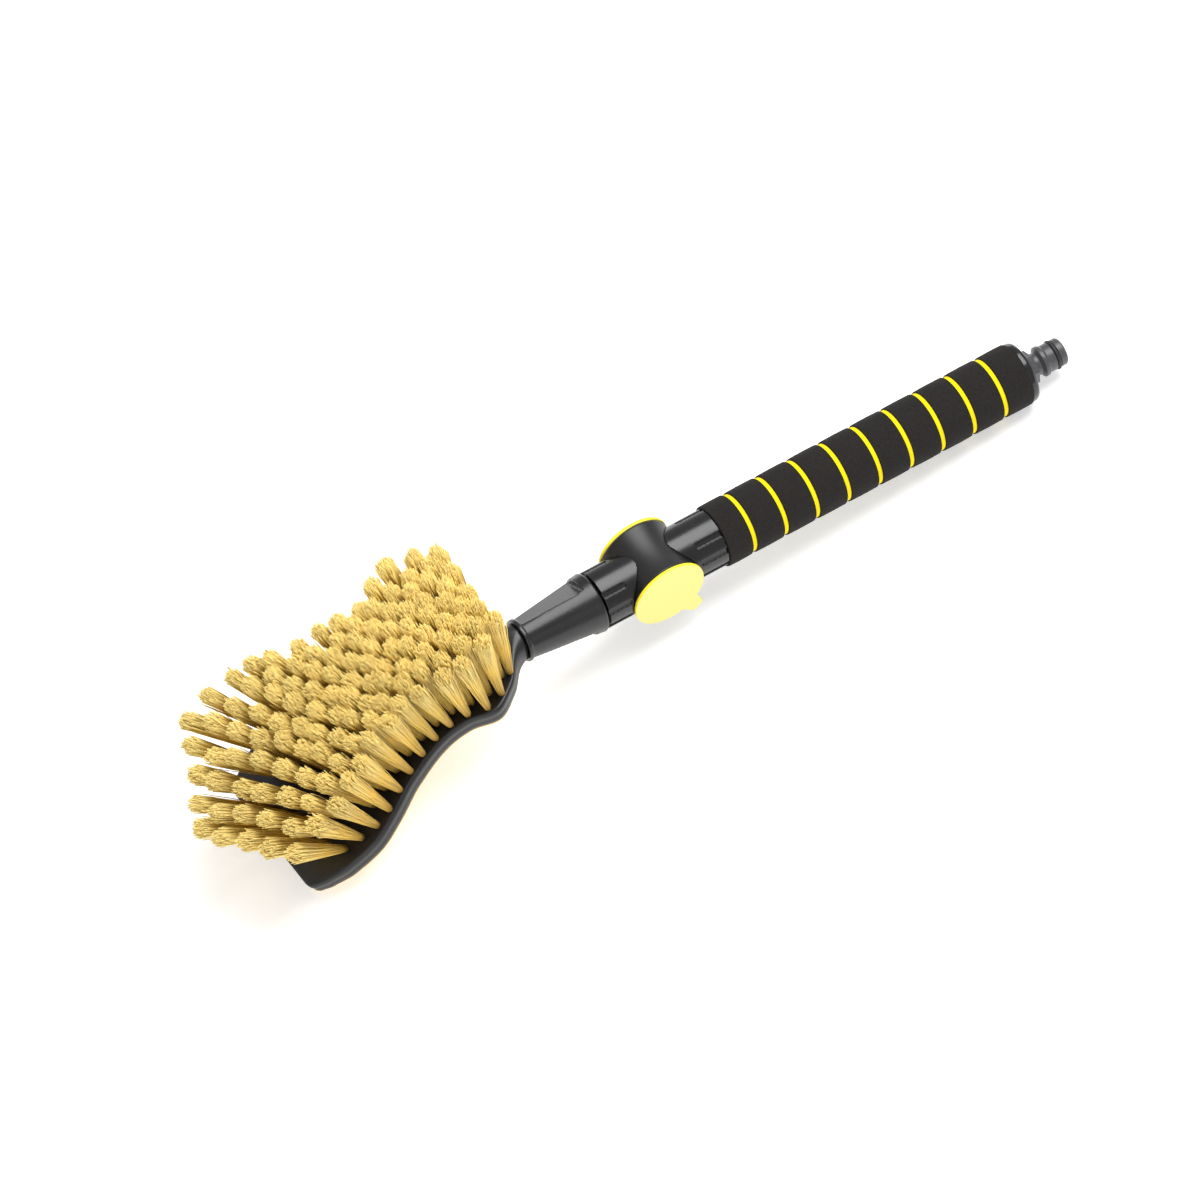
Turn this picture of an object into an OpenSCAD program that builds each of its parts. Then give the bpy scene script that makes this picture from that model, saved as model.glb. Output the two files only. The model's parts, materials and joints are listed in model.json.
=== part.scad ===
// Water-fed wheel brush, lying bristles up in its rest position.
// The shapes are built along the handle: x = 0 is the valve's centre, +X points to the hose
// end, +Z is the bristle side. in_rest_pose() then tips the whole brush onto the floor.

/* [Handle] */
// Outside diameter of the foam grip
grip_d = 35; // [33:0.5:38]
// Valve centre to the front end of the grip
grip_start = 38.5; // [38:0.5:44]
// Number of yellow rings that show between the black bands
ring_count = 9; // [4:1:12]
// Distance from one yellow ring to the next
ring_pitch = 19.5; // [16:0.5:22]
// Width of each yellow ring
ring_w = 2.4; // [1.5:0.1:3]
// How deep the rings lie under the black foam
ring_depth = 1; // [0.4:0.1:1.5]
// Thickness of the end cap's flange
cap_t = 4.5; // [3:0.5:8]
// Outside diameter of the handle tube under the foam
tube_d = 26; // [24:0.5:27]

/* [Valve] */
// Diameter of the two yellow discs
disc_d = 42; // [40:0.5:44]
// Distance across the outer faces of the discs
disc_span = 36.7; // [36:0.1:40]
// Thickness of a disc
disc_t = 1.8; // [1.5:0.1:3]
// Diameter of the valve barrel at its waist
waist_d = 37.6; // [36:0.2:39]
// Diameter of the valve barrel at its ends
barrel_d = 41.4; // [40:0.2:42]
// Diameter of the turning plug
plug_d = 19; // [17:0.5:20]
// Angle of the thumb tab below the handle line, partly open
tab_angle = 53.5; // [0:0.5:90]
// Reach of the thumb tab from the disc's centre
tab_reach = 29.6; // [26:0.2:32]

/* [Sleeves and head socket] */
// Diameter of the two sleeves beside the valve
sleeve_d = 32.5; // [31:0.5:34]
// Flute places round each sleeve; the top and bottom places stay plain
flute_count = 10; // [8:2:16]
// Valve centre to the wide end of the head socket
socket_start = 36; // [35:0.5:40]
// Length of the conical head socket
socket_len = 46; // [44:0.5:50]
// Diameter at the socket's wide end
socket_d = 33.8; // [33:0.2:35]
// Diameter at the socket's narrow end
socket_tip_d = 23; // [22:0.5:25]

/* [Head] */
// Radius of the arch that the brush face is bent to
arch_r = 290; // [270:5:320]
// Slope of the brush face where it leaves the neck
neck_slope = 6; // [4:0.5:8]
// Length of the head along its arch
head_len = 168; // [168:0.5:170]
// Height of the brush face above the handle axis at the neck
face_height = 6; // [5:0.5:7]
// Thickness of the black block, skirt included
block_t = 9; // [9:0.5:10]
// Thickness of the yellow back cover
cover_t = 1.5; // [1.2:0.1:2]

/* [Bristles] */
// Rows of tufts across the head
tuft_rows = 9; // [7:2:9]
// Distance between tufts along a row
tuft_pitch = 10.4; // [10:0.1:12]
// Distance of the outer rows from the edge of the head
tuft_margin = 5; // [5:0.5:6]
// Diameter of a tuft where it enters the block
tuft_d = 4; // [3.6:0.1:4.2]
// Diameter of a tuft at its tip
tuft_tip_d = 6.8; // [6.4:0.2:7.4]
// Length of the bristles at the neck
tuft_neck_len = 75.5; // [66:0.5:78]
// Length of the bristles at the far end
tuft_end_len = 63; // [55:1:66]

/* [Hidden] */
$fn = 64;
fit = 0.1;         // radial gap between pieces that stay together
running = 0.05;    // radial gap between the plug and its bore
water_r = 4.2;     // radius of the water way
eps = 1;           // how far a cut runs past the face that it opens

sleeve_r = sleeve_d / 2;
stub_r = 11;       // pipe stubs of the valve housing, inside the sleeves
front_stub_r = 9;  // the part of the front stub that enters the head socket
spigot_r = tube_d / 2 - 2.6;   // the part of the rear stub that enters the handle tube
stub_step = 24;    // where the rear stub steps down to that spigot
ring_first = grip_start + 15.5;
grip_end = ring_first + (ring_count - 1) * ring_pitch + 17.1;
core_r = grip_d / 2 - ring_depth;
cap_end = grip_end + cap_t;
barrel_half = disc_span / 2 - disc_t - 0.2;
socket_end = socket_start + socket_len;
neck_x = -socket_end - 2;

// Head: half-widths along the arch, measured from the neck, joined by a smooth curve
outline = [[-4, 10], [6, 13], [16, 23.5], [31, 32], [48, 27.5], [66, 28], [90, 35],
           [108, 43], [125, 48], [146, 47], [160, 42.5], [168, 38.5]];
outline_step = 4;
cover_lip = 0.8;       // how far the back cover shows beyond the block's far edge
arch_x = neck_x + arch_r * sin(neck_slope);
arch_z = face_height - arch_r * cos(neck_slope);
function slope(s) = neck_slope + s / arch_r * 180 / PI;
function bend(a, b, c, d, t) =
    b + (c - a) / 2 * t + (2 * a - 5 * b + 4 * c - d) / 2 * t * t + (3 * b - a - 3 * c + d) / 2 * t * t * t;
function station(i) = outline[max(0, min(len(outline) - 1, i))];
function span(s, i = 0) = i >= len(outline) - 2 || s < outline[i + 1][0] ? i : span(s, i + 1);
function half_width(s) = let (
        i = span(s),
        t = (s - station(i)[0]) / (station(i + 1)[0] - station(i)[0]))
    bend(station(i - 1)[1], station(i)[1], station(i + 1)[1], station(i + 2)[1], t);
mid_slope = slope(head_len / 2);
function draw_x(s) = -arch_r * sin(slope(s) - mid_slope);

// Tufts: even rows start at the neck, odd rows are set back by half a pitch
tuft_start = 14;
tuft_end = 160;
tuft_end_round = 21;   // how much sooner the outer rows end than the middle one
tuft_depth = 5.5;
anchor_t = 0.4;
lean_neck = 10.7;      // forward lean of the bristles at the neck, in degrees
lean_rate = 0.178;     // more lean for each mm towards the far end
splay_neck = 7.2;      // sideways lean of the outer rows at the neck
lean_end = 14;         // extra forward lean of the last tufts
splay_end = 11;        // extra sideways lean of the last tufts
fan_from = 115;        // where that extra lean starts
draw_in = 6;           // how much further from the edge the outer rows are at the far end
draw_in_from = 108;
draw_in_to = 140;
function ease(t) = let (u = max(0, min(1, t))) u * u * (3 - 2 * u);
function margin(s) = tuft_margin + draw_in * ease((s - draw_in_from) / (draw_in_to - draw_in_from));
function row_side(row) = (2 * (row - 1) / (tuft_rows - 1)) - 1;
function row_places(row) = let (
        f = row_side(row),
        first = tuft_start + (row % 2 == 0 ? tuft_pitch / 2 : 0),
        last = tuft_end - tuft_end_round * f * f)
    [for (s = [first : tuft_pitch : last]) s];
function fan(s) = ease((s - fan_from) / (tuft_end - fan_from));
function lean(s) = lean_neck + lean_rate * s + lean_end * fan(s) - slope(s);
function splay(s, f) = f * (splay_neck + splay_end * fan(s));
function tuft_len(s) = tuft_neck_len + (tuft_end_len - tuft_neck_len) * s / tuft_end;

// Rest position: the head's far lower edge and the rear of the grip touch the floor
tip_r = arch_r - block_t - cover_t;
tip_run = -draw_x(head_len + cover_lip);
tip_rise = sqrt(tip_r * tip_r - tip_run * tip_run);
tip_x = arch_x - tip_run * cos(mid_slope) - tip_rise * sin(mid_slope);
tip_z = arch_z - tip_run * sin(mid_slope) + tip_rise * cos(mid_slope);
rest_tilt = atan((-grip_d / 2 - tip_z) / (grip_end - tip_x));
rest_lift = grip_end * sin(rest_tilt) + grip_d / 2 * cos(rest_tilt);
centre_shift = 14.35;  // brings the middle of the whole length to x = 0

module in_rest_pose() {
    translate([centre_shift, 0, rest_lift]) rotate([0, rest_tilt, 0]) children();
}

// A solid of revolution along the handle; points are [x, radius]
module along_handle(points) {
    rotate([0, 90, 0]) rotate_extrude() polygon([for (p = points) [p[1], p[0]]]);
}
module rod(x0, x1, r) {
    translate([x0, 0, 0]) rotate([0, 90, 0]) cylinder(h = x1 - x0, r = r);
}
module cross_rod(half, r) {
    rotate([90, 0, 0]) cylinder(h = 2 * half, r = r, center = true);
}
module o_ring(x, r, wire_r) {
    translate([x, 0, 0]) rotate([0, 90, 0]) rotate_extrude() translate([r, 0]) circle(wire_r, $fn = 24);
}
// Places children on the brush face at s along the arch and y across it, +Z out of the face
module on_face(s, y = 0) {
    translate([arch_x, 0, arch_z]) rotate([0, -slope(s), 0]) translate([0, y, arch_r]) children();
}
module tuft_axis(s, row) {
    f = row_side(row);
    on_face(s, f * (half_width(s) - margin(s)))
        rotate([0, -lean(s), 0]) rotate([-splay(s, f), 0, 0]) children();
}
module each_tuft(row) {
    for (s = row_places(row)) tuft_axis(s, row) children();
}

// ---- Head ----

// The space between two radii of the arch
module arch_shell(r_low, r_high) {
    translate([arch_x, 0, arch_z]) difference() {
        cross_rod(80, r_high, $fn = 200);
        cross_rod(81, r_low, $fn = 200);
    }
}
// The head's outline, drawn square to the middle of the arch and cut to a layer of the arch
module arch_layer(r_low, r_high, inset, start, end) {
    steps = ceil((end - start) / outline_step);
    places = [for (i = [0 : steps]) start + (end - start) * i / steps];
    intersection() {
        translate([arch_x, 0, arch_z]) rotate([0, -mid_slope, 0]) translate([0, 0, arch_r - 40])
            linear_extrude(height = 60) polygon(concat(
                [for (s = places) [draw_x(s), half_width(min(s, head_len)) - inset]],
                [for (i = [len(places) - 1 : -1 : 0])
                    [draw_x(places[i]), inset - half_width(min(places[i], head_len))]]));
        arch_shell(r_low, r_high);
    }
}

block_start = 2.2;     // the board starts clear of the socket's end
cover_start = 7;
plate_t = 7;           // the block's solid plate, above its water chamber
skirt_w = 2.6;
neck_spigot_r = 7.9;
neck_spigot_len = 14;
neck_r = 10;
neck_blend = 11;       // length over which the neck tapers into the board
outlet_r = 1;
module neck() {
    along_handle([[neck_x, 0], [neck_x, neck_r], [-socket_end - fit, neck_r], [-socket_end - fit, neck_spigot_r],
                  [-socket_end + neck_spigot_len, neck_spigot_r], [-socket_end + neck_spigot_len, 0]]);
    intersection() {
        along_handle([[neck_x - neck_blend, 0], [neck_x - neck_blend, neck_r / 2], [neck_x, neck_r], [neck_x, 0]]);
        arch_shell(arch_r - block_t, arch_r + neck_r);
    }
}
module brush_block() color([0.13, 0.13, 0.14]) in_rest_pose() difference() {
    union() {
        arch_layer(arch_r - block_t, arch_r, 0, block_start, head_len);
        neck();
    }
    arch_layer(arch_r - block_t - eps, arch_r - plate_t, skirt_w, cover_start, head_len - skirt_w);
    rod(neck_x - 9, -socket_end + neck_spigot_len + eps, 3);
    for (row = [1 : tuft_rows]) each_tuft(row)
        translate([0, 0, -tuft_depth - anchor_t]) cylinder(h = tuft_depth + 4, r = tuft_d / 2 + fit, $fn = 24);
    for (i = [3 : 12]) on_face(tuft_start + (i + 0.5) * tuft_pitch)
        translate([0, 0, -plate_t - eps]) cylinder(h = plate_t + 2 * eps, r = outlet_r, $fn = 16);
}

cover_inset = 0.6;
module back_cover() color([0.95, 0.8, 0.2]) in_rest_pose() {
    arch_layer(arch_r - block_t - cover_t, arch_r - block_t - fit, cover_inset, cover_start, head_len + cover_lip);
}

module tuft_row(row) color([0.86, 0.74, 0.36]) in_rest_pose() for (s = row_places(row)) tuft_axis(s, row) {
    translate([0, 0, -tuft_depth]) cylinder(h = tuft_depth + 1, r = tuft_d / 2, $fn = 24);
    translate([0, 0, 1]) cylinder(h = tuft_len(s) - 1, d1 = tuft_d, d2 = tuft_tip_d, $fn = 24);
}

module tuft_anchors() color("silver") in_rest_pose() for (row = [1 : tuft_rows]) each_tuft(row)
    translate([0, 0, -tuft_depth - anchor_t / 2]) cube([1.2, 2 * (tuft_d / 2 - 0.3), anchor_t], center = true);

// ---- Head socket ----

flat_side = -36;       // direction of the first flat round the handle, from +Z
flat_tip_r = 8.9;      // distance of the flat from the axis at the narrow end
flat_end_r = 12;       // and at the wide end
flat_start = 3.2;      // the flat starts this far from the narrow end
flat_stop = 6;         // and ends this far before the wide end
flat_tip_w = 5.6;      // half-width from its middle to the step beside it, at the narrow end
flat_end_w = 10.2;     // and at the wide end
flat_corner = 1.2;     // radius of the corner where the step ends
module socket_flat() {
    rise = atan((flat_end_r - flat_tip_r) / socket_len);
    last = socket_len - flat_stop;
    translate([-socket_end, 0, flat_tip_r]) rotate([0, -rise, 0]) linear_extrude(height = 20) {
        polygon([[flat_start, -flat_tip_w], [last - flat_corner, -flat_end_w], [last - flat_corner, 20],
                 [flat_start, 20]]);
        polygon([[last - 2 * flat_corner, flat_corner - flat_end_w], [last, flat_corner - flat_end_w], [last, 20],
                 [last - 2 * flat_corner, 20]]);
        translate([last - flat_corner, flat_corner - flat_end_w]) circle(flat_corner, $fn = 32);
    }
}
socket_bore = front_stub_r + fit;
socket_bore_len = 24;
o_ring_x = -50;
module head_socket() color([0.2, 0.2, 0.21]) in_rest_pose() difference() {
    along_handle([[-socket_end, 0], [-socket_end, socket_tip_d / 2 + 0.5],
                  [-socket_end + 2, socket_tip_d / 2 + 0.7], [-socket_end + 2.4, socket_tip_d / 2],
                  [-socket_start - 1.2, socket_d / 2], [-socket_start, socket_d / 2 - 1],
                  [-socket_start, 0]]);
    rotate([flat_side, 0, 0]) socket_flat();
    rotate([flat_side + 180, 0, 0]) mirror([0, 1, 0]) socket_flat();
    rod(-socket_end - eps, -socket_end + neck_spigot_len + fit, neck_spigot_r + fit);
    rod(-socket_end, -socket_start, water_r);
    rod(-socket_start - socket_bore_len, -socket_start + eps, socket_bore);
}
module head_o_ring() color([0.05, 0.05, 0.05]) in_rest_pose() o_ring(o_ring_x, front_stub_r - 1, 1);

// ---- Valve ----

// The barrel across the handle, waisted by one arc, grown by a gap where it is a cutter
module barrel(gap = 0) {
    rise = (barrel_d - waist_d) / 2;
    arc_r = (rise * rise + barrel_half * barrel_half) / (2 * rise);
    rotate([90, 0, 0]) rotate_extrude() difference() {
        translate([0, -barrel_half]) square([barrel_d / 2 + gap, 2 * barrel_half]);
        translate([waist_d / 2 + arc_r + gap, 0]) circle(arc_r, $fn = 200);
    }
}
o_groove_w = 2.2;
module valve_housing() color([0.12, 0.12, 0.13]) in_rest_pose() difference() {
    union() {
        barrel();
        rod(-socket_start - socket_bore_len + 0.4, 0, front_stub_r);
        rod(-socket_start + fit, stub_step, stub_r);
        rod(stub_step, stub_step + 16, spigot_r);
    }
    cross_rod(barrel_half + eps, plug_d / 2);
    rod(-80, 80, water_r);
    translate([o_ring_x, 0, 0]) rotate([0, 90, 0]) difference() {
        cylinder(h = o_groove_w, r = front_stub_r + eps, center = true);
        cylinder(h = o_groove_w + eps, r = front_stub_r - 2.1, center = true);
    }
}

flute_w = 3.2;
flute_depth = 1.2;
flute_turn = -4;       // turns the whole set of flutes round the handle, in degrees
module flutes(x_open, x_closed) {
    low = min(x_open, x_closed);
    for (side = [-1, 1], i = [1 : flute_count / 2 - 1]) rotate([flute_turn + side * i * 360 / flute_count, 0, 0])
        translate([0, 0, sleeve_r - flute_depth]) {
            translate([low, -flute_w / 2, 0]) cube([abs(x_open - x_closed), flute_w, 4]);
            translate([x_closed, 0, 0]) cylinder(h = 4, d = flute_w, $fn = 32);
        }
}
sleeve_gap = 1;        // dark gap between the head socket and the front sleeve
module front_sleeve() color([0.15, 0.15, 0.16]) in_rest_pose() difference() {
    rod(-socket_start + sleeve_gap, -5, sleeve_r);
    rod(-socket_start, 0, stub_r + fit);
    barrel(fit);
    flutes(-socket_start - eps, -22.5);
}
module rear_sleeve() color([0.15, 0.15, 0.16]) in_rest_pose() difference() {
    rod(5, grip_start - 0.1, sleeve_r);
    rod(0, stub_step, stub_r + fit);
    rod(stub_step, grip_start + eps, tube_d / 2 + fit);
    barrel(fit);
    flutes(grip_start + eps, 23.5);
}

plug_groove_y = 12;
boss_r = 4;
boss_len = 6;
module valve_plug() color([0.85, 0.85, 0.82]) in_rest_pose() difference() {
    cross_rod(barrel_half + 0.2, plug_d / 2 - running);
    rotate([0, tab_angle, 0]) rod(-20, 20, water_r);
    for (side = [-1, 1]) {
        translate([0, side * plug_groove_y, 0]) rotate([90, 0, 0]) difference() {
            cylinder(h = o_groove_w, r = plug_d, center = true);
            cylinder(h = o_groove_w + eps, r = 7.4, center = true);
        }
        translate([0, side * (barrel_half + 0.2), 0]) cross_rod(boss_len, boss_r + fit);
    }
}
module plug_o_ring(side) color([0.05, 0.05, 0.05]) in_rest_pose()
    translate([0, side * plug_groove_y, 0]) rotate([90, 0, 0]) rotate_extrude()
        translate([8.4, 0]) circle(0.95, $fn = 24);

// A disc with the snap boss that enters the plug; side is -1 near, 1 far
module plain_disc(side) {
    translate([0, side * (disc_span / 2 - disc_t / 2), 0]) cross_rod(disc_t / 2, disc_d / 2, $fn = 96);
    translate([0, side * (barrel_half + 0.2 - boss_len / 2 + 0.4), 0]) cross_rod(boss_len / 2 - 0.4, boss_r);
}
tab_root_w = 10;
tab_end_w = 8;
tab_fillet = 3;
tab_corner = 2;
module tab_outline() {
    root_x = disc_d / 2 - 3;
    fillet_x = sqrt(pow(disc_d / 2 + tab_fillet, 2) - pow(tab_root_w / 2 + tab_fillet, 2));
    difference() {
        polygon([[root_x, -tab_root_w / 2 - tab_fillet], [fillet_x, -tab_root_w / 2 - tab_fillet],
                 [fillet_x, -tab_root_w / 2], [tab_reach - tab_corner, -tab_end_w / 2],
                 [tab_reach, tab_corner - tab_end_w / 2], [tab_reach, tab_end_w / 2 - tab_corner],
                 [tab_reach - tab_corner, tab_end_w / 2], [fillet_x, tab_root_w / 2],
                 [fillet_x, tab_root_w / 2 + tab_fillet], [root_x, tab_root_w / 2 + tab_fillet]]);
        for (side = [-1, 1]) translate([fillet_x, side * (tab_root_w / 2 + tab_fillet)]) circle(tab_fillet);
    }
    for (side = [-1, 1]) translate([tab_reach - tab_corner, side * (tab_end_w / 2 - tab_corner)]) circle(tab_corner);
}
module lever_disc() color([1, 0.95, 0.45]) in_rest_pose() {
    plain_disc(-1);
    rotate([0, tab_angle, 0]) translate([0, -disc_span / 2 + disc_t, 0]) rotate([90, 0, 0])
        linear_extrude(height = disc_t) tab_outline();
}
module far_disc() color([1, 0.95, 0.2]) in_rest_pose() plain_disc(1);

// ---- Grip ----

module handle_tube() color([0.3, 0.3, 0.32]) in_rest_pose() difference() {
    rod(stub_step + fit, grip_end, tube_d / 2);
    rod(0, grip_end + eps, spigot_r + fit);
}
module grip_core() color([1, 0.93, 0.1]) in_rest_pose() difference() {
    rod(grip_start, grip_end, core_r);
    rod(0, grip_end + eps, tube_d / 2 + fit);
}
// Black foam band number i, from one yellow ring to the next
module grip_band(i) color([0.16, 0.15, 0.15]) in_rest_pose() {
    x0 = i == 1 ? grip_start : ring_first + (i - 2) * ring_pitch + ring_w / 2;
    x1 = i == ring_count + 1 ? grip_end : ring_first + (i - 1) * ring_pitch - ring_w / 2;
    soft = 0.5;
    along_handle([[x0, core_r + 0.02], [x0, grip_d / 2 - soft], [x0 + soft, grip_d / 2],
                  [x1 - soft, grip_d / 2], [x1, grip_d / 2 - soft], [x1, core_r + 0.02]]);
}

// ---- Hose end ----

cap_plug_len = 15;
shank_r = 6.5;
module end_cap() color([0.08, 0.08, 0.09]) in_rest_pose() difference() {
    along_handle([[grip_end - cap_plug_len, 0], [grip_end - cap_plug_len, spigot_r], [grip_end, spigot_r],
                  [grip_end, 16.9], [cap_end - 2, 16.9], [cap_end - 0.6, 16.2], [cap_end, 14.8], [cap_end, 0]]);
    rod(grip_end - 30, cap_end + eps, shank_r + fit);
}
nipple_r = 7.7;
nipple_len = 23.5;
nipple_bore_r = 4.3;
nipple_ring_x = 18;    // O-ring of the nipple, measured from the cap's face
nipple_hex_len = 5;    // six-sided collar against the cap
nipple_hex_r = 9.4;
nipple_flange_x = 9.6;
nipple_flange_r = 8.5;
nipple_neck_r = 6.2;
nipple_washer_t = 1.5;
module hose_nipple() color([0.3, 0.3, 0.32]) in_rest_pose() translate([cap_end, 0, 0]) difference() {
    union() {
        along_handle([[-cap_t - cap_plug_len + nipple_washer_t, 0],
                      [-cap_t - cap_plug_len + nipple_washer_t, shank_r], [0, shank_r], [nipple_hex_len, shank_r],
                      [nipple_hex_len + 0.6, nipple_neck_r], [nipple_flange_x - 1.6, nipple_neck_r],
                      [nipple_flange_x, nipple_flange_r], [nipple_flange_x + 2, nipple_flange_r],
                      [nipple_flange_x + 2.8, nipple_r], [nipple_ring_x - 1.2, nipple_r],
                      [nipple_ring_x - 1.2, nipple_neck_r], [nipple_ring_x + 1.2, nipple_neck_r],
                      [nipple_ring_x + 1.2, nipple_r], [nipple_len - 1, nipple_r],
                      [nipple_len, nipple_r - 1], [nipple_len, 0]]);
        rotate([0, 90, 0]) cylinder(h = nipple_hex_len, r = nipple_hex_r, $fn = 6);
    }
    rod(-40, nipple_len + eps, nipple_bore_r);
}
module nipple_o_ring() color([0.04, 0.04, 0.04]) in_rest_pose() o_ring(cap_end + nipple_ring_x, 7.3, 1);
module nipple_washer() color([0.05, 0.05, 0.05]) in_rest_pose() difference() {
    rod(grip_end - cap_plug_len, grip_end - cap_plug_len + nipple_washer_t, shank_r);
    rod(grip_end - 30, grip_end, nipple_bore_r);
}

brush_block();
back_cover();
for (i = [1 : tuft_rows]) tuft_row(i);
tuft_anchors();
head_socket();
head_o_ring();
front_sleeve();
valve_housing();
rear_sleeve();
valve_plug();
plug_o_ring(-1);  // plug_o_ring_near
plug_o_ring(1);  // plug_o_ring_far
lever_disc();
far_disc();
handle_tube();
grip_core();
for (i = [1 : ring_count + 1]) grip_band(i);
end_cap();
hose_nipple();
nipple_o_ring();
nipple_washer();
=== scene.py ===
"""Looks of the water-fed wheel brush: bristle tufts, foam grip, moulded plastics, studio."""
import json
import math

import bmesh
import bpy
import numpy as np
from mathutils import Matrix, Vector


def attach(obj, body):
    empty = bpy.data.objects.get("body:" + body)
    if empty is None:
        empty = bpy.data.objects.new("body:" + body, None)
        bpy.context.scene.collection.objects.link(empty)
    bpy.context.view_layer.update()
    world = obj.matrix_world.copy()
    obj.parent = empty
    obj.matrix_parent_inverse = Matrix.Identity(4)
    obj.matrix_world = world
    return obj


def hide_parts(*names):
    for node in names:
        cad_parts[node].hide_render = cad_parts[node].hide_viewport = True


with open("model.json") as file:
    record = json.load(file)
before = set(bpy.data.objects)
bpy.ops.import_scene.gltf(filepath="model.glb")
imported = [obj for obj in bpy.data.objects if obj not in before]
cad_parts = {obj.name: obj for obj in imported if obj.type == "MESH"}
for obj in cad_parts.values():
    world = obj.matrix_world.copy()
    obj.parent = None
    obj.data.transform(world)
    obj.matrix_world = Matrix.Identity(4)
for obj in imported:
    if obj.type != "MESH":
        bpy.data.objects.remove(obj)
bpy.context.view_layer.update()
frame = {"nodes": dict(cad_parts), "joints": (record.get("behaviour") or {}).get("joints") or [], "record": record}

MM = 0.001
BRUSH, KNOB = "brush", "valve_knob"
rng = np.random.default_rng(27)

# ---- The handle's own frame: x along the handle from the valve, y across, z to the bristles ----

connector = next(m for m in frame["record"]["mounts"] if m["name"] == "hose_connector")
VALVE = Vector(frame["joints"][0]["pos_m"])
ALONG = Vector(connector["axis"]).normalized()
ACROSS = Vector((0, 1, 0))
OUT = ALONG.cross(ACROSS)
TURN = Matrix((ALONG, ACROSS, OUT)).transposed()
TO_ROW = Matrix.Translation(VALVE) @ TURN.to_4x4() @ Matrix.Scale(MM, 4)

# Handle sizes in millimetres
GRIP_START, RING_FIRST, RING_PITCH, RING_COUNT, RING_W = 38.5, 54.0, 19.5, 9, 2.4
GRIP_R, RING_DEPTH, TUBE_R = 17.5, 1.0, 13.0
GRIP_END = RING_FIRST + (RING_COUNT - 1) * RING_PITCH + 17.1
SOCKET_END, NECK_X = 82.0, -84.0

# Head sizes in millimetres: an arch of radius ARCH_R that leaves the neck at NECK_SLOPE
ARCH_R, NECK_SLOPE, HEAD_LEN, FACE_HEIGHT = 290.0, math.radians(6), 168.0, 6.0
BLOCK_T, COVER_T, COVER_INSET, COVER_LIP = 9.0, 1.5, 0.6, 0.8
OUTLINE = [(-4, 10), (6, 13), (16, 23.5), (31, 32), (48, 27.5), (66, 28), (90, 35),
           (108, 43), (125, 48), (146, 47), (160, 42.5), (168, 38.5)]

# Tufts, in millimetres and degrees
TUFT_ROWS, TUFT_PITCH, TUFT_MARGIN = 9, 10.4, 5.0
TUFT_START, TUFT_END, TUFT_END_ROUND = 14.0, 160.0, 21.0
TUFT_ROOT_R, TUFT_NECK_LEN, TUFT_END_LEN = 2.0, 75.5, 63.0
LEAN_NECK, LEAN_RATE, LEAN_END = 10.7, 0.178, 14.0
SPLAY_NECK, SPLAY_END, FAN_FROM = 7.2, 11.0, 115.0
DRAW_IN, DRAW_IN_FROM, DRAW_IN_TO = 6.0, 108.0, 140.0


def slope(s):
    """Slope of the arch, in radians, s mm from the neck."""
    return NECK_SLOPE + s / ARCH_R


def half_width(s):
    """Half-width of the head s mm from the neck: a smooth curve through OUTLINE."""
    stations = [p[0] for p in OUTLINE]
    last = len(OUTLINE) - 1
    i = max(0, min(int(np.searchsorted(stations, s, side="right")) - 1, last - 1))
    a, b, c, d = (OUTLINE[max(0, min(last, i + k))][1] for k in (-1, 0, 1, 2))
    t = (s - stations[i]) / (stations[i + 1] - stations[i])
    return b + (c - a) / 2 * t + (2 * a - 5 * b + 4 * c - d) / 2 * t**2 + (3 * b - a - 3 * c + d) / 2 * t**3


def on_face(s, y, rise=0.0):
    """Point y mm across the brush face and rise mm above it, in the handle's frame."""
    x = NECK_X + ARCH_R * math.sin(NECK_SLOPE) - (ARCH_R + rise) * math.sin(slope(s))
    z = FACE_HEIGHT - ARCH_R * math.cos(NECK_SLOPE) + (ARCH_R + rise) * math.cos(slope(s))
    return np.array([x, y, z])


# ---- Making pieces ----


def smooth_step(a, b, x):
    t = min(1.0, max(0.0, (x - a) / (b - a)))
    return t * t * (3 - 2 * t)


def put(name, mesh, body, material, replaces=()):
    """Links a finished mesh in row coordinates as a piece of the brush."""
    obj = bpy.data.objects.new(name, mesh)
    bpy.context.scene.collection.objects.link(obj)
    mesh.materials.clear()
    mesh.materials.append(material)
    mesh.polygons.foreach_set("use_smooth", [True] * len(mesh.polygons))
    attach(obj, body)
    if replaces:
        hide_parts(*replaces)
    return obj


def handle_mesh(name, points, faces):
    """A mesh from points in the handle's frame, in millimetres."""
    mesh = bpy.data.meshes.new(name)
    mesh.from_pydata([tuple(p) for p in points], [], faces)
    mesh.transform(TO_ROW)
    mesh.update()
    return mesh


def loop_faces(loops, size, closed_ends=True):
    """Quads between successive closed loops of the same size, with a face on each end."""
    faces = []
    for j in range(loops - 1):
        for i in range(size):
            k = (i + 1) % size
            faces.append((j * size + i, j * size + k, (j + 1) * size + k, (j + 1) * size + i))
    if closed_ends:
        faces.append(tuple(range(size - 1, -1, -1)))
        faces.append(tuple((loops - 1) * size + i for i in range(size)))
    return faces


def outward(mesh):
    """Turns every face of a closed mesh outwards."""
    work = bmesh.new()
    work.from_mesh(mesh)
    bmesh.ops.recalc_face_normals(work, faces=work.faces)
    work.to_mesh(mesh)
    work.free()
    return mesh


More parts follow.
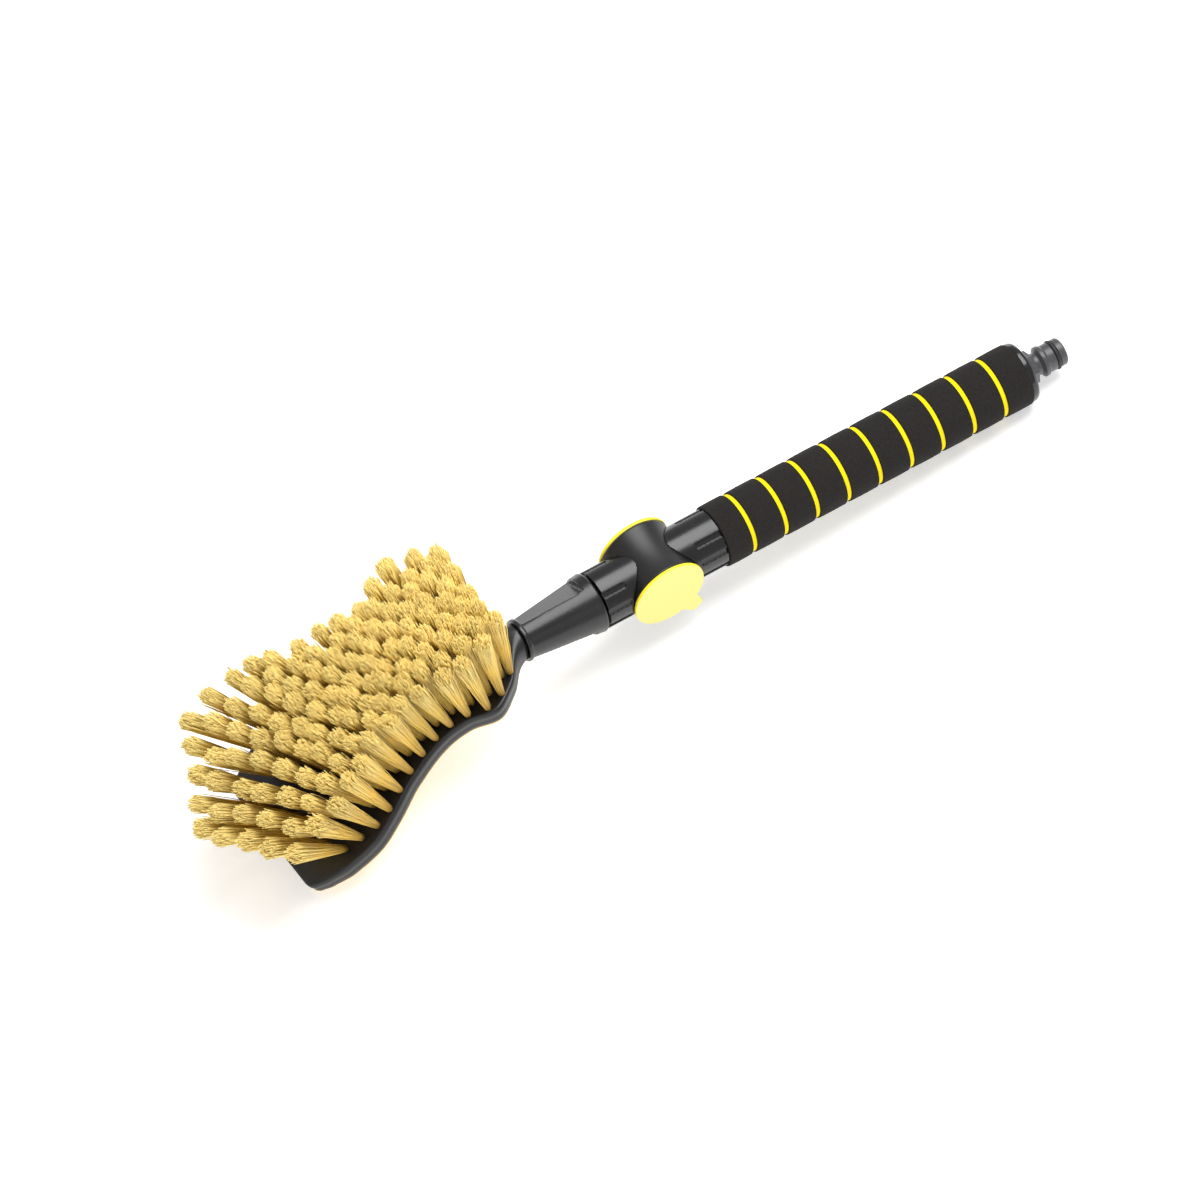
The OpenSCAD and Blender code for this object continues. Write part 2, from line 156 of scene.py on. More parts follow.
def turned(name, profile, sides=128, wobble=0.0):
    """A closed ring turned about the handle's axis; profile is a closed list of (x, radius)."""
    points = []
    for i in range(sides):
        a = 2 * math.pi * i / sides
        for j, (x, r) in enumerate(profile):
            soft = wobble * math.sin(3 * a + 1.3 * x) * math.sin(0.7 * x + 2 * a + j)
            points.append((x, (r + soft) * math.sin(a), (r + soft) * math.cos(a)))
    n = len(profile)
    faces = [(i * n + j, i * n + (j + 1) % n, (i + 1) % sides * n + (j + 1) % n, (i + 1) % sides * n + j)
             for i in range(sides) for j in range(n)]
    return outward(handle_mesh(name, points, faces))


def softened(node, body, material, voxel=0.35, passes=5):
    """Stands for a CAD node with the same shape, its moulded edges rounded off a little."""
    work = bmesh.new()
    work.from_mesh(frame["nodes"][node].data)
    bmesh.ops.remove_doubles(work, verts=work.verts, dist=1e-6)
    mesh = bpy.data.meshes.new(node + "_moulded")
    work.to_mesh(mesh)
    work.free()
    obj = bpy.data.objects.new("soften_work", mesh)
    bpy.context.scene.collection.objects.link(obj)
    remesh = obj.modifiers.new("remesh", "REMESH")
    remesh.mode = "VOXEL"
    remesh.voxel_size = voxel * MM
    relax = obj.modifiers.new("relax", "SMOOTH")
    relax.factor = 0.5
    relax.iterations = passes
    made = bpy.data.meshes.new_from_object(obj.evaluated_get(bpy.context.evaluated_depsgraph_get()))
    made.name = node + "_moulded"
    bpy.data.objects.remove(obj)
    return put(node + "_moulded", made, body, material, [node])


# ---- Shader groups ----


def socket(group, name, kind, into=True, value=None):
    made = group.interface.new_socket(name, in_out="INPUT" if into else "OUTPUT", socket_type=kind)
    if value is not None:
        made.default_value = value
    return made


def node_of(tree, kind, inputs=None, **settings):
    """A shader node with its settings, and its inputs set or linked."""
    node = tree.nodes.new(kind)
    for key, value in settings.items():
        setattr(node, key, value)
    for key, value in (inputs or {}).items():
        if isinstance(value, bpy.types.NodeSocket):
            tree.links.new(value, node.inputs[key])
        else:
            node.inputs[key].default_value = value
    return node


def shader_group(name, inputs, outputs):
    group = bpy.data.node_groups.new(name, "ShaderNodeTree")
    for label, kind, value in inputs:
        socket(group, label, kind, True, value)
    for label, kind in outputs:
        socket(group, label, kind, False)
    return group, group.nodes.new("NodeGroupInput"), group.nodes.new("NodeGroupOutput")


def object_noise(tree, scale, detail=3.0, rough=0.55):
    """Noise in the object's own coordinates, in metres."""
    place = tree.nodes.new("ShaderNodeTexCoord")
    return node_of(tree, "ShaderNodeTexNoise",
                   {"Vector": place.outputs["Object"], "Scale": scale, "Detail": detail, "Roughness": rough})


def make_moulding_group():
    """Moulded plastic: spark-eroded grain, soft mottling, scuffs and handling dust."""
    group, given, out = shader_group(
        "moulded_surface",
        [("Color", "NodeSocketColor", (0.03, 0.03, 0.03, 1)),
         ("Wear Color", "NodeSocketColor", (0.2, 0.2, 0.2, 1)),
         ("Roughness", "NodeSocketFloat", 0.4), ("Grain Scale", "NodeSocketFloat", 2500.0),
         ("Grain", "NodeSocketFloat", 0.2), ("Wear", "NodeSocketFloat", 0.2)],
        [("Color", "NodeSocketColor"), ("Roughness", "NodeSocketFloat"), ("Normal", "NodeSocketVector")])
    mottle = object_noise(group, 60.0, 4.0)
    grain = object_noise(group, 2500.0, 2.0, 0.6)
    group.links.new(given.outputs["Grain Scale"], grain.inputs["Scale"])
    scuff = object_noise(group, 260.0, 6.0, 0.7)
    mask = node_of(group, "ShaderNodeMapRange",
                   {"Value": scuff.outputs["Fac"], "From Min": 0.6, "From Max": 0.78, "To Max": 1.0})
    worn = node_of(group, "ShaderNodeMath", {0: mask.outputs["Result"], 1: given.outputs["Wear"]},
                   operation="MULTIPLY")
    color = node_of(group, "ShaderNodeMix", data_type="RGBA")
    group.links.new(worn.outputs[0], color.inputs["Factor"])
    group.links.new(given.outputs["Color"], color.inputs["A"])
    group.links.new(given.outputs["Wear Color"], color.inputs["B"])
    spread = node_of(group, "ShaderNodeMapRange",
                     {"Value": mottle.outputs["Fac"], "To Min": -0.07, "To Max": 0.07})
    rough = node_of(group, "ShaderNodeMath", {0: given.outputs["Roughness"], 1: spread.outputs["Result"]},
                    operation="ADD", use_clamp=True)
    scuffed = node_of(group, "ShaderNodeMath", {0: worn.outputs[0], 1: 0.25, 2: rough.outputs[0]},
                      operation="MULTIPLY_ADD", use_clamp=True)
    bump = node_of(group, "ShaderNodeBump",
                   {"Strength": given.outputs["Grain"], "Distance": 0.00003, "Height": grain.outputs["Fac"]})
    group.links.new(color.outputs["Result"], out.inputs["Color"])
    group.links.new(scuffed.outputs[0], out.inputs["Roughness"])
    group.links.new(bump.outputs["Normal"], out.inputs["Normal"])
    return group


def make_foam_group():
    """Closed-cell foam: small cut cells with painted shade in their pits, flecked by noise, and a dull skin."""
    group, given, out = shader_group(
        "foam_surface",
        [("Color", "NodeSocketColor", (0.03, 0.03, 0.03, 1)),
         ("Cell Color", "NodeSocketColor", (0.01, 0.01, 0.01, 1)),
         ("Cell Scale", "NodeSocketFloat", 1500.0), ("Depth", "NodeSocketFloat", 0.6)],
        [("Color", "NodeSocketColor"), ("Roughness", "NodeSocketFloat"), ("Normal", "NodeSocketVector")])
    place = group.nodes.new("ShaderNodeTexCoord")
    cells = node_of(group, "ShaderNodeTexVoronoi",
                    {"Vector": place.outputs["Object"], "Scale": given.outputs["Cell Scale"]})
    fleck = object_noise(group, 900.0, 5.0, 0.7)
    cloud = object_noise(group, 90.0, 4.0)
    # The pits of the cells take the darker colour: painted shade in the hollows; the same mask is the bump height.
    pit = node_of(group, "ShaderNodeMapRange", {"Value": cells.outputs["Distance"], "From Max": 0.45})
    mix = node_of(group, "ShaderNodeMath", {0: pit.outputs["Result"], 1: fleck.outputs["Fac"]},
                  operation="MULTIPLY")
    color = node_of(group, "ShaderNodeMix", data_type="RGBA")
    group.links.new(mix.outputs[0], color.inputs["Factor"])
    group.links.new(given.outputs["Cell Color"], color.inputs["A"])
    group.links.new(given.outputs["Color"], color.inputs["B"])
    rough = node_of(group, "ShaderNodeMapRange",
                    {"Value": cloud.outputs["Fac"], "To Min": 0.82, "To Max": 1.0})
    bump = node_of(group, "ShaderNodeBump",
                   {"Strength": given.outputs["Depth"], "Distance": 0.0002, "Height": mix.outputs[0]})
    group.links.new(color.outputs["Result"], out.inputs["Color"])
    group.links.new(rough.outputs["Result"], out.inputs["Roughness"])
    group.links.new(bump.outputs["Normal"], out.inputs["Normal"])
    return group


MOULDING = make_moulding_group()
FOAM = make_foam_group()


def new_material(name, **constants):
    """A material whose constants sit on the Principled BSDF's own sockets."""
    material = bpy.data.materials.new(name)
    material.use_nodes = True
    shader = material.node_tree.nodes["Principled BSDF"]
    for key, value in constants.items():
        shader.inputs[key.replace("_", " ").title().replace("Ior", "IOR")].default_value = value
    return material, material.node_tree, shader


def place_group(tree, group, shader, **values):
    """Puts a shader group in a material and links what it gives to the shader."""
    node = tree.nodes.new("ShaderNodeGroup")
    node.node_tree = group
    for key, value in values.items():
        node.inputs[key.replace("_", " ").title()].default_value = value
    tree.links.new(node.outputs["Color"], shader.inputs["Base Color"])
    tree.links.new(node.outputs["Roughness"], shader.inputs["Roughness"])
    tree.links.new(node.outputs["Normal"], shader.inputs["Normal"])
    return node


def moulded(name, color, wear_color, roughness, grain=0.25, grain_scale=2500.0, wear=0.2, **constants):
    material, tree, shader = new_material(name, **constants)
    place_group(tree, MOULDING, shader, color=(*color, 1), wear_color=(*wear_color, 1), roughness=roughness,
                grain_scale=grain_scale, grain=grain, wear=wear)
    return material


def foam(name, color, cell_color, cell_scale, depth, **constants):
    material, tree, shader = new_material(name, **constants)
    place_group(tree, FOAM, shader, color=(*color, 1), cell_color=(*cell_color, 1), cell_scale=cell_scale,
                depth=depth)
    return material


def bristle_material():
    """Straw bristle: dark gold at the root as painted shade, paler to the tip as painted light, each bristle its
    own tone.
    """
    material, tree, shader = new_material("bristle_straw", roughness=0.5, specular_ior_level=0.35)
    tone = node_of(tree, "ShaderNodeAttribute", attribute_name="tone")
    parts = node_of(tree, "ShaderNodeSeparateColor", {"Color": tone.outputs["Color"]})
    # Along each bristle: darker at the root as painted shade between the tufts, paler at the tip as painted light.
    root_shade_ramp = node_of(tree, "ShaderNodeValToRGB", {"Fac": parts.outputs["Red"]})
    stops = root_shade_ramp.color_ramp.elements
    stops[0].color = (0.42, 0.24, 0.03, 1)
    stops[1].color = (1.0, 0.80, 0.29, 1)
    middle = stops.new(0.5)
    middle.color = (0.96, 0.67, 0.12, 1)
    shade = node_of(tree, "ShaderNodeMapRange",
                    {"Value": parts.outputs["Green"], "To Min": 0.82, "To Max": 1.14})
    color = node_of(tree, "ShaderNodeMix", {"Factor": 1.0}, data_type="RGBA", blend_type="MULTIPLY")
    tree.links.new(root_shade_ramp.outputs["Color"], color.inputs["A"])
    tree.links.new(shade.outputs["Result"], color.inputs["B"])
    streak = object_noise(tree, 1800.0, 2.0)
    rough = node_of(tree, "ShaderNodeMapRange",
                    {"Value": streak.outputs["Fac"], "To Min": 0.4, "To Max": 0.62})
    bump = node_of(tree, "ShaderNodeBump",
                   {"Strength": 0.15, "Distance": 0.0001, "Height": streak.outputs["Fac"]})
    tree.links.new(color.outputs["Result"], shader.inputs["Base Color"])
    tree.links.new(rough.outputs["Result"], shader.inputs["Roughness"])
    tree.links.new(bump.outputs["Normal"], shader.inputs["Normal"])
    return material


def disc_material():
    """Yellow disc: full yellow on its rim and tab edges, its outer faces painted pale as a painted sheen of the
    light.
    """
    material, tree, shader = new_material("disc_yellow", roughness=0.5)
    node = place_group(tree, MOULDING, shader, color=(1, 0.8, 0.02, 1), wear_color=(0.9, 0.75, 0.3, 1),
                       roughness=0.45, grain_scale=2200.0, grain=0.3, wear=0.1)
    place = tree.nodes.new("ShaderNodeTexCoord")
    side = node_of(tree, "ShaderNodeSeparateXYZ", {"Vector": place.outputs["Normal"]})
    facing = node_of(tree, "ShaderNodeMath", {0: side.outputs["Y"]}, operation="ABSOLUTE")
    # Faces that look along the disc's axis take a pale colour: a painted sheen standing for the strong light on
    # them.
    painted_sheen_face = node_of(tree, "ShaderNodeMapRange",
                   {"Value": facing.outputs[0], "From Min": 0.85, "From Max": 0.98})
    color = node_of(tree, "ShaderNodeMix", data_type="RGBA")
    tree.links.new(painted_sheen_face.outputs["Result"], color.inputs["Factor"])
    tree.links.new(node.outputs["Color"], color.inputs["A"])
    color.inputs["B"].default_value = (0.8, 0.7, 0.19, 1)
    tree.links.new(color.outputs["Result"], shader.inputs["Base Color"])
    return material


BLOCK = moulded("block_black", (0.009, 0.009, 0.01), (0.06, 0.06, 0.06), 0.33, grain=0.3, wear=0.25)
COVER = moulded("cover_yellow", (0.62, 0.43, 0.11), (0.85, 0.66, 0.32), 0.45, grain=0.3, wear=0.2)
SOCKET = moulded("socket_charcoal", (0.007, 0.007, 0.008), (0.06, 0.06, 0.06), 0.27, grain=0.25, wear=0.2)
SLEEVE = moulded("sleeve_charcoal", (0.006, 0.006, 0.007), (0.06, 0.06, 0.06), 0.25, grain=0.2, wear=0.2)
HOUSING = moulded("valve_black", (0.005, 0.005, 0.006), (0.07, 0.07, 0.07), 0.42, grain=0.35, wear=0.2)
CAP = moulded("cap_gloss_black", (0.008, 0.008, 0.009), (0.06, 0.06, 0.06), 0.16, grain=0.05, wear=0.15)
NIPPLE = moulded("nipple_grey", (0.055, 0.055, 0.06), (0.2, 0.2, 0.2), 0.34, grain=0.3, wear=0.3)
PLUG = moulded("plug_natural", (0.78, 0.77, 0.72), (0.6, 0.58, 0.5), 0.35, grain=0.1, wear=0.2)
SEAL = moulded("seal_rubber", (0.012, 0.012, 0.012), (0.06, 0.06, 0.06), 0.55, grain=0.3, wear=0.3)
TUBE = moulded("tube_alloy", (0.62, 0.62, 0.64), (0.4, 0.4, 0.42), 0.32, grain=0.2, wear=0.4, metallic=1.0)
ANCHOR = moulded("anchor_wire", (0.6, 0.6, 0.6), (0.3, 0.3, 0.3), 0.3, grain=0.3, wear=0.4, metallic=1.0)
FOAM_BLACK = foam("foam_black", (0.028, 0.025, 0.022), (0.006, 0.005, 0.005), 1700.0, 0.7,
                  specular_ior_level=0.2)
FOAM_YELLOW = foam("foam_yellow", (1.0, 0.83, 0.005), (0.85, 0.6, 0.0), 1500.0, 0.4, specular_ior_level=0.25)
BRISTLE = bristle_material()
DISC = disc_material()

# ---- Head: block and back cover, lofted along the arch ----

LOOP_TOP, LOOP_CORNER, LOOP_SIDE = 24, 7, 6


def section(half, low, high, top_r, low_r, step=0.0):
    """A closed cross-section as (y, n) points: flat top and bottom, rounded corners."""
    top_r, low_r = min(top_r, half), min(low_r, half)
    right = []
    for i in range(LOOP_CORNER + 1):
        a = math.pi / 2 * i / LOOP_CORNER
        right.append((half - top_r + top_r * math.sin(a) - step, high - top_r + top_r * math.cos(a)))
    side_top, side_low = high - top_r, low + low_r
    for i in range(1, LOOP_SIDE):
        t = i / LOOP_SIDE
        right.append((half - step * (1 - smooth_step(0.45, 0.62, t)), side_top + (side_low - side_top) * t))
    for i in range(LOOP_CORNER + 1):
        a = math.pi / 2 * i / LOOP_CORNER
        right.append((half - low_r + low_r * math.cos(a), low + low_r - low_r * math.sin(a)))
    inner_top, inner_low = right[0][0], right[-1][0]
    top = [(-inner_top + 2 * inner_top * i / LOOP_TOP, high) for i in range(1, LOOP_TOP)]
    bottom = [(inner_low - 2 * inner_low * i / LOOP_TOP, low) for i in range(1, LOOP_TOP)]
    left = [(-y, n) for y, n in reversed(right)]
    return top + right + bottom + left


def loft(name, loops):
    """A closed skin through loops of the same size."""
    points = [p for loop in loops for p in loop]
    return outward(handle_mesh(name, points, loop_faces(len(loops), len(loops[0]))))


PLAN_CORNER = 3.0
EDGE_R = 1.2
NECK_R, SPIGOT_R, SPIGOT_END = 10.0, 7.9, -68.0


def corner_inset(from_end, radius):
    """How far a rounded corner has drawn in, from_end mm before the end."""
    return 0.0 if from_end >= radius else radius - math.sqrt(max(0.0, radius**2 - (radius - from_end) ** 2))


def block_loop(s):
    """The block's section: round at the neck, then a flat board with a rolled top edge."""
    flat = smooth_step(-1.0, 17.0, s)
    end = HEAD_LEN - s
    edge = corner_inset(end, EDGE_R)
    half = half_width(s) - corner_inset(end, PLAN_CORNER) - edge
    high = (1 - flat) * (10.0 - FACE_HEIGHT) - edge
    low = -(1 - flat) * (10.0 + FACE_HEIGHT) - flat * BLOCK_T + edge
    top_r = (1 - flat) * min(half, (high - low) / 2) + flat * min(2.6, (high - low) * 0.35)
    low_r = (1 - flat) * min(half, (high - low) / 2) + flat * min(1.0, (high - low) * 0.2)
    return [on_face(s, y, n) for y, n in section(half, low, high, top_r, low_r, 0.45 * flat)]


def end_stations(start, stop, step, fine):
    """Even stations, with finer ones over the last fine mm so that the end rounds off."""
    body = list(np.arange(start, stop - fine, step))
    round_off = [stop - fine * (1 - math.sin(math.pi / 2 * i / 14)) for i in range(15)]
    return body + round_off


def round_loop(x, r):
    """A circle about the handle's axis with as many points as the block's section."""
    return [np.array([x, y, n]) for y, n in section(r, -r, r, r, r)]


def block_skin():
    """The whole block: its spigot in the socket, the neck and the arched board."""
    step_x = -SOCKET_END - 0.1
    loops = [round_loop(x, r) for x, r in [
        (SPIGOT_END, SPIGOT_R - 0.6), (SPIGOT_END - 0.6, SPIGOT_R), (step_x + 0.02, SPIGOT_R),
        (step_x, SPIGOT_R + 0.1), (step_x, NECK_R - 0.3), (step_x - 0.3, NECK_R)]]
    first = next(s for s in np.arange(-3.0, 0.0, 0.05) if on_face(s, 0)[0] < step_x - 1.0)
    loops += [block_loop(s) for s in end_stations(first, HEAD_LEN, 2.0, PLAN_CORNER + EDGE_R)]
    return loft("brush_block_moulded", loops)


put("brush_block_moulded", block_skin(), BRUSH, BLOCK, ["brush_block"])


def cover_loop(s):
    end = HEAD_LEN + COVER_LIP - s
    edge = corner_inset(end, 0.5)
    half = half_width(min(s, HEAD_LEN)) - COVER_INSET - corner_inset(end, PLAN_CORNER) - edge
    half *= smooth_step(5.0, 8.0, s) * 0.25 + 0.75
    high, low = -BLOCK_T, -BLOCK_T - COVER_T + edge
    return [on_face(s, y, n) for y, n in section(half, low, high - 0.02, 0.2, 0.5)]


cover_stations = end_stations(7.0, HEAD_LEN + COVER_LIP, 2.0, PLAN_CORNER)
put("back_cover_moulded", loft("back_cover_moulded", [cover_loop(s) for s in cover_stations]), BRUSH,
    COVER, ["back_cover"])

# ---- Tufts ----

STRANDS = 230
STRAND_STEPS = 7
STRAND_SIDES = 3
TIP_R = 5.0
STRAND_R, TIP_STRAND_R = 0.2, 0.27


def row_side(row):
    return 2 * (row - 1) / (TUFT_ROWS - 1) - 1


def row_places(row):
    first = TUFT_START + (TUFT_PITCH / 2 if row % 2 == 0 else 0)
    last = TUFT_END - TUFT_END_ROUND * row_side(row) ** 2
    return np.arange(first, last + 1e-9, TUFT_PITCH)


def tuft_frame(s, row):
    """Root point and axes (side, side, along) of one tuft."""
    side = row_side(row)
    margin = TUFT_MARGIN + DRAW_IN * smooth_step(DRAW_IN_FROM, DRAW_IN_TO, s)
    root = on_face(s, side * (half_width(s) - margin))
    fan = smooth_step(FAN_FROM, TUFT_END, s)
    lean = math.radians(LEAN_NECK + LEAN_RATE * s + LEAN_END * fan)
    splay = math.radians(side * (SPLAY_NECK + SPLAY_END * fan))
    along = np.array([-math.sin(lean) * math.cos(splay), math.sin(splay), math.cos(lean) * math.cos(splay)])
    along += rng.normal(0, 0.018, 3)
    along /= np.linalg.norm(along)
    first = np.cross([0, 1, 0], along)
    first /= np.linalg.norm(first)
    return root, first, np.cross(along, first), along


def strand_paths(s, row):
    """Centre lines of a tuft's bristles, (strand, step, xyz), and their tone."""
    root, first, second, along = tuft_frame(s, row)
    length = TUFT_NECK_LEN + (TUFT_END_LEN - TUFT_NECK_LEN) * s / TUFT_END
    spread = TIP_R * rng.uniform(0.9, 1.1)
    u = np.sqrt(rng.uniform(0, 1, STRANDS))
    a = rng.uniform(0, 2 * math.pi, STRANDS)
    tip_u = np.clip(u + rng.normal(0, 0.12, STRANDS), 0, 1.25)
    tip_a = a + rng.normal(0, 0.25, STRANDS)
    reach = length * (1.0 - 0.05 * tip_u**2 + rng.normal(0, 0.02, STRANDS)) * rng.uniform(0.985, 1.015)
    t = np.linspace(0, 1, STRAND_STEPS)
    fan = (t**0.95)[None, :]
    crimp = 0.28 * np.sin(2 * math.pi * (2.2 * t[None, :] + rng.uniform(0, 1, (STRANDS, 1)))) * t[None, :]
    low = (TUFT_ROOT_R - 0.25) * u[:, None]
    x = low * np.cos(a)[:, None] * (1 - fan) + (spread * tip_u * np.cos(tip_a))[:, None] * fan + crimp
    y = low * np.sin(a)[:, None] * (1 - fan) + (spread * tip_u * np.sin(tip_a))[:, None] * fan
    y = y + crimp * rng.normal(0, 0.7, (STRANDS, 1))
    z = -1.5 + (reach[:, None] + 1.5) * t[None, :]
    path = root + x[..., None] * first + y[..., None] * second + z[..., None] * along
    tuft_tone = rng.uniform(0.35, 0.65)
    tone = np.clip(tuft_tone + rng.normal(0, 0.2, STRANDS), 0, 1)
    return path, tone, first, second, t


def tuft_row(row):
    """All the bristles of one row, as three-sided tapering strands in one mesh."""
    points, tones = [], []
    for s in row_places(row):
        path, tone, first, second, t = strand_paths(s, row)
        thick = (STRAND_R + (TIP_STRAND_R - STRAND_R) * t)[None, :, None]
        ring = []
        twist = rng.uniform(0, 2 * math.pi, (STRANDS, 1, 1))
        for k in range(STRAND_SIDES):
            angle = twist + 2 * math.pi * k / STRAND_SIDES
            ring.append(path + thick * (np.cos(angle) * first + np.sin(angle) * second))
        points.append(np.stack(ring, axis=2).reshape(-1, 3))
        # The first channel, the place along the bristle, drives the painted shade at the roots and the painted
        # light at the tips.
        along = np.broadcast_to(t[None, :, None], (STRANDS, STRAND_STEPS, STRAND_SIDES)).reshape(-1)
        own = np.repeat(tone, STRAND_STEPS * STRAND_SIDES)
        tones.append(np.stack([along, own, np.zeros_like(own), np.ones_like(own)], axis=1))
    points, tones = np.concatenate(points), np.concatenate(tones)
    count = len(points) // (STRAND_STEPS * STRAND_SIDES)
    base = np.arange(count)[:, None, None, None] * (STRAND_STEPS * STRAND_SIDES)
    step = np.arange(STRAND_STEPS - 1)[None, :, None, None] * STRAND_SIDES
    side = np.arange(STRAND_SIDES)[None, None, :, None]
    here = side[..., 0]
    beside = (here + 1) % STRAND_SIDES
    corner = np.stack([here, beside, beside + STRAND_SIDES, here + STRAND_SIDES], axis=-1)
    quads = (base + step + corner).reshape(-1, 4)
    tip = np.arange(count)[:, None] * STRAND_STEPS * STRAND_SIDES
    ends = [tip + (STRAND_STEPS - 1) * STRAND_SIDES + np.arange(STRAND_SIDES)[None, :],
            tip + np.arange(STRAND_SIDES)[::-1][None, :]]
    name = f"tuft_row_{row}_bristles"
    mesh = bpy.data.meshes.new(name)
    mesh.from_pydata(points.tolist(), [], quads.tolist() + ends[0].tolist() + ends[1].tolist())
    mesh.transform(TO_ROW)
    layer = mesh.color_attributes.new("tone", "FLOAT_COLOR", "POINT")
    layer.data.foreach_set("color", tones.astype(np.float32).ravel())
    put(name, mesh, BRUSH, BRISTLE, [f"tuft_row_{row}"])


for tuft_row_number in range(1, TUFT_ROWS + 1):
    tuft_row(tuft_row_number)

# ---- Grip: black foam bands over a yellow foam core ----

CORE_R = GRIP_R - RING_DEPTH
LIP_W = 2.0


def band_profile(x0, x1, lip):
    """A foam band: soft shoulders, a faint crown, and a lip down to the tube at the grip's ends."""
    soft, crown, steps, bends = 0.75, 0.12, 12, 5
    shoulder = [(soft - soft * math.cos(math.pi / 2 * i / bends),
                 GRIP_R - crown - soft + soft * math.sin(math.pi / 2 * i / bends)) for i in range(bends + 1)]
    middle = [(x0 + soft + (x1 - x0 - 2 * soft) * i / steps,
               GRIP_R - crown + crown * math.sin(math.pi * i / steps)) for i in range(1, steps)]
    inner = CORE_R + 0.02
    front, back = [(x0, inner)], [(x1, inner)]
    if lip < 0:
        front = [(x0 + LIP_W, inner), (x0 + LIP_W, TUBE_R + 0.1), (x0, TUBE_R + 0.1)]
    if lip > 0:
        back = [(x1, TUBE_R + 0.1), (x1 - LIP_W, TUBE_R + 0.1), (x1 - LIP_W, inner)]
    rising = [(x0 + x, r) for x, r in shoulder]
    falling = [(x1 - x, r) for x, r in reversed(shoulder)]
    return front + rising + middle + falling + back


def grip_band(number):
    x0 = GRIP_START if number == 1 else RING_FIRST + (number - 2) * RING_PITCH + RING_W / 2
    x1 = GRIP_END if number == RING_COUNT + 1 else RING_FIRST + (number - 1) * RING_PITCH - RING_W / 2
    name = f"grip_band_{number}_foam"
    lip = -1 if number == 1 else int(number == RING_COUNT + 1)
    band = put(name, turned(name, band_profile(x0, x1, lip), 144, 0.03), BRUSH, FOAM_BLACK,
               [f"grip_band_{number}"])


for band_number in range(1, RING_COUNT + 2):
    grip_band(band_number)

core_start, core_end = GRIP_START + LIP_W + 0.05, GRIP_END - LIP_W - 0.05
core_outer = [(core_start + (core_end - core_start) * i / 96, CORE_R) for i in range(97)]
core_profile = core_outer + [(core_end, TUBE_R + 0.1), (core_start, TUBE_R + 0.1)]
core = put("grip_core_foam", turned("grip_core_foam", core_profile), BRUSH, FOAM_YELLOW,
           ["grip_core"])

# ---- Moulded pieces ----

softened("head_socket", BRUSH, SOCKET)
softened("front_sleeve", BRUSH, SLEEVE, 0.3, 4)
softened("rear_sleeve", BRUSH, SLEEVE, 0.3, 4)
softened("valve_housing", BRUSH, HOUSING, 0.5, 4)
softened("end_cap", BRUSH, CAP, 0.35, 5)
softened("hose_nipple", BRUSH, NIPPLE, 0.25, 3)
softened("lever_disc", KNOB, DISC, 0.3, 3)
softened("far_disc", KNOB, DISC, 0.3, 3)

INNER = {"tuft_anchors": ANCHOR, "head_o_ring": SEAL, "valve_plug": PLUG, "plug_o_ring_near": SEAL,
         "plug_o_ring_far": SEAL, "handle_tube": TUBE, "nipple_o_ring": SEAL, "nipple_washer": SEAL}
for plain, finish in INNER.items():
    skin = frame["nodes"][plain].data
    skin.materials.clear()
    skin.materials.append(finish)

# ---- Studio ----


def studio_material(name, color, roughness):
    material, tree, shader = new_material(name, roughness=roughness)
    cloud = object_noise(tree, 3.0, 2.0)
    tint = node_of(tree, "ShaderNodeMapRange",
                   {"Value": cloud.outputs["Fac"], "To Min": color * 0.995, "To Max": color})
    tree.links.new(tint.outputs["Result"], shader.inputs["Base Color"])
    shader.inputs["Emission Color"].default_value = (1, 1, 1, 1)
    shader.inputs["Emission Strength"].default_value = 0.38
    return material


def floor():
    mesh = bpy.data.meshes.new("studio_floor")
    reach = 6.0
    mesh.from_pydata([(-reach, -reach, 0), (reach, -reach, 0), (reach, reach, 0), (-reach, reach, 0)], [],
                     [(0, 1, 2, 3)])
    obj = bpy.data.objects.new("studio_floor", mesh)
    bpy.context.scene.collection.objects.link(obj)
    mesh.materials.append(studio_material("floor_white", 0.93, 0.75))


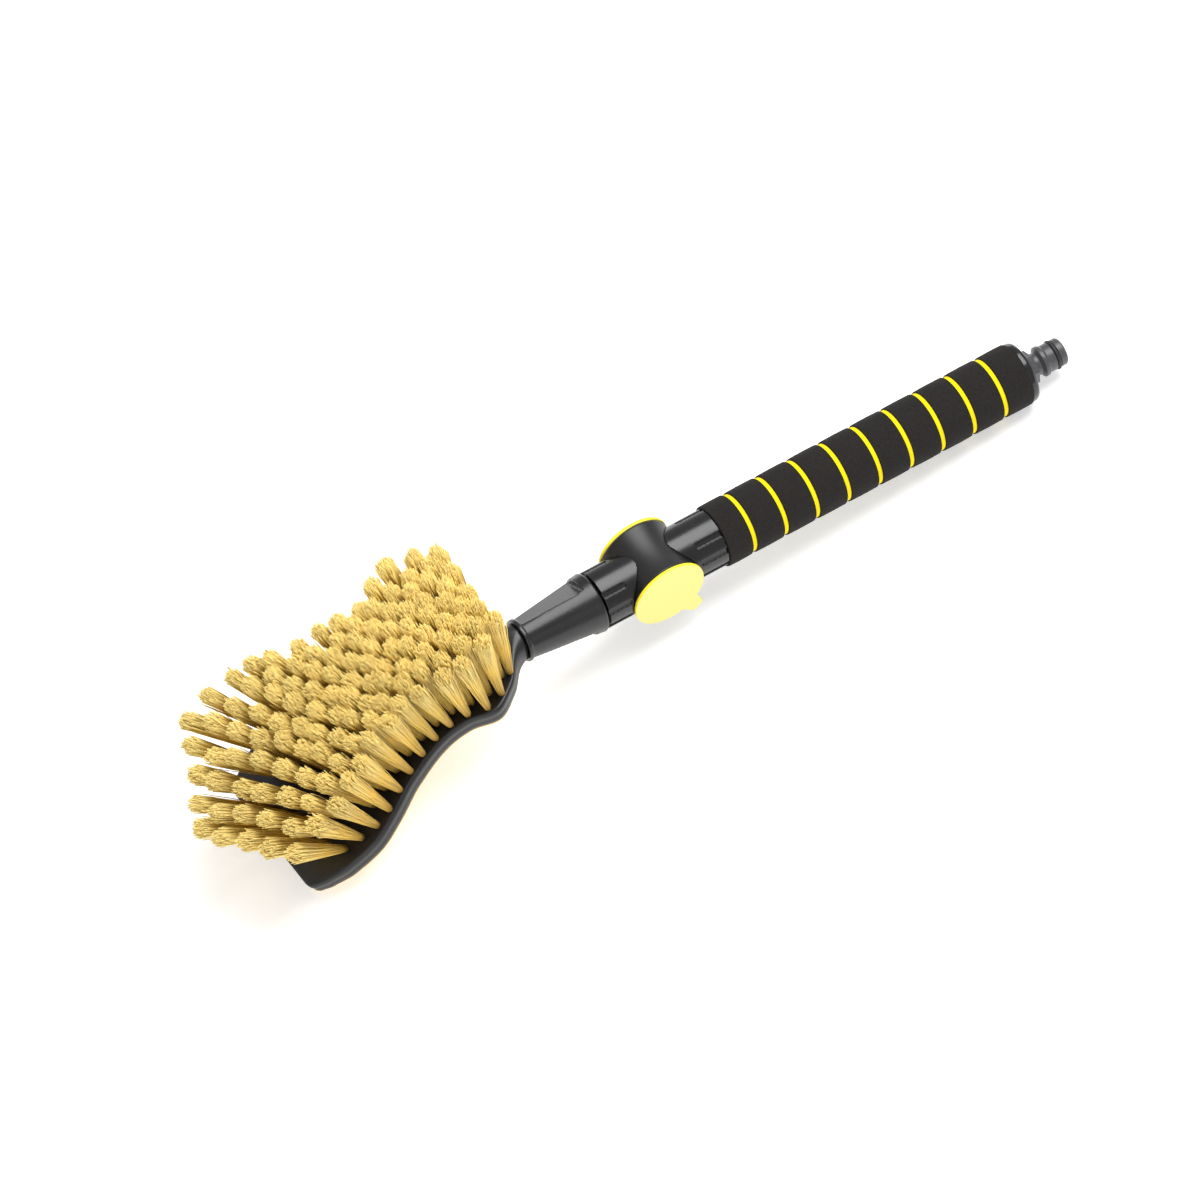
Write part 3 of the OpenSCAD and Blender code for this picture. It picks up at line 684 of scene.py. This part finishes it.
def softbox(name, place, size, power, target=(-0.05, 0, 0.03)):
    light = bpy.data.lights.new(name, "AREA")
    light.shape = "RECTANGLE"
    light.size, light.size_y = size
    light.energy = power
    obj = bpy.data.objects.new(name, light)
    bpy.context.scene.collection.objects.link(obj)
    obj.location = place
    obj.rotation_euler = (Vector(target) - Vector(place)).to_track_quat("-Z", "Y").to_euler()


def studio():
    """A broad overhead softbox, weak side fills, and a white backdrop that lights the brush only a little."""
    floor()
    softbox("key_overhead", (0.85, 0.27, 2.4), (1.9, 1.9), 74)
    softbox("fill_near_left", (-1.2, -2.0, 1.3), (3.0, 2.0), 18)
    world = bpy.data.worlds.new("studio_world")
    world.use_nodes = True
    tree = world.node_tree
    glow = tree.nodes["Background"]
    glow.inputs["Color"].default_value = (1, 1, 1, 1)
    glow.inputs["Strength"].default_value = 0.55
    backdrop = node_of(tree, "ShaderNodeBackground", {"Color": (1, 1, 1, 1), "Strength": 1.0})
    path = tree.nodes.new("ShaderNodeLightPath")
    shown = node_of(tree, "ShaderNodeMixShader",
                    {0: path.outputs["Is Camera Ray"], 1: glow.outputs["Background"],
                     2: backdrop.outputs["Background"]})
    tree.links.new(shown.outputs["Shader"], tree.nodes["World Output"].inputs["Surface"])
    bpy.context.scene.world = world
    bpy.context.scene.view_settings.view_transform = "Standard"


def camera():
    """A long lens above the near side of the handle, looking along its own axes."""
    right = TURN @ Vector((0.8394, -0.5435, -0.0111))
    up = TURN @ Vector((0.4500, 0.6833, 0.5752))
    right.normalize()
    back = right.cross(up).normalized()
    up = back.cross(right)
    distance, view_width = 30.0, 0.624
    centre = VALVE - right * 0.0265 - up * 0.01545
    data = bpy.data.cameras.new("camera")
    data.sensor_width = 36.0
    data.lens = data.sensor_width * distance / view_width
    data.clip_end = 100.0
    obj = bpy.data.objects.new("camera", data)
    bpy.context.scene.collection.objects.link(obj)
    aim = Matrix((right, up, back)).transposed().to_4x4()
    obj.matrix_world = Matrix.Translation(centre + back * distance) @ aim
    bpy.context.scene.camera = obj


camera()
studio()
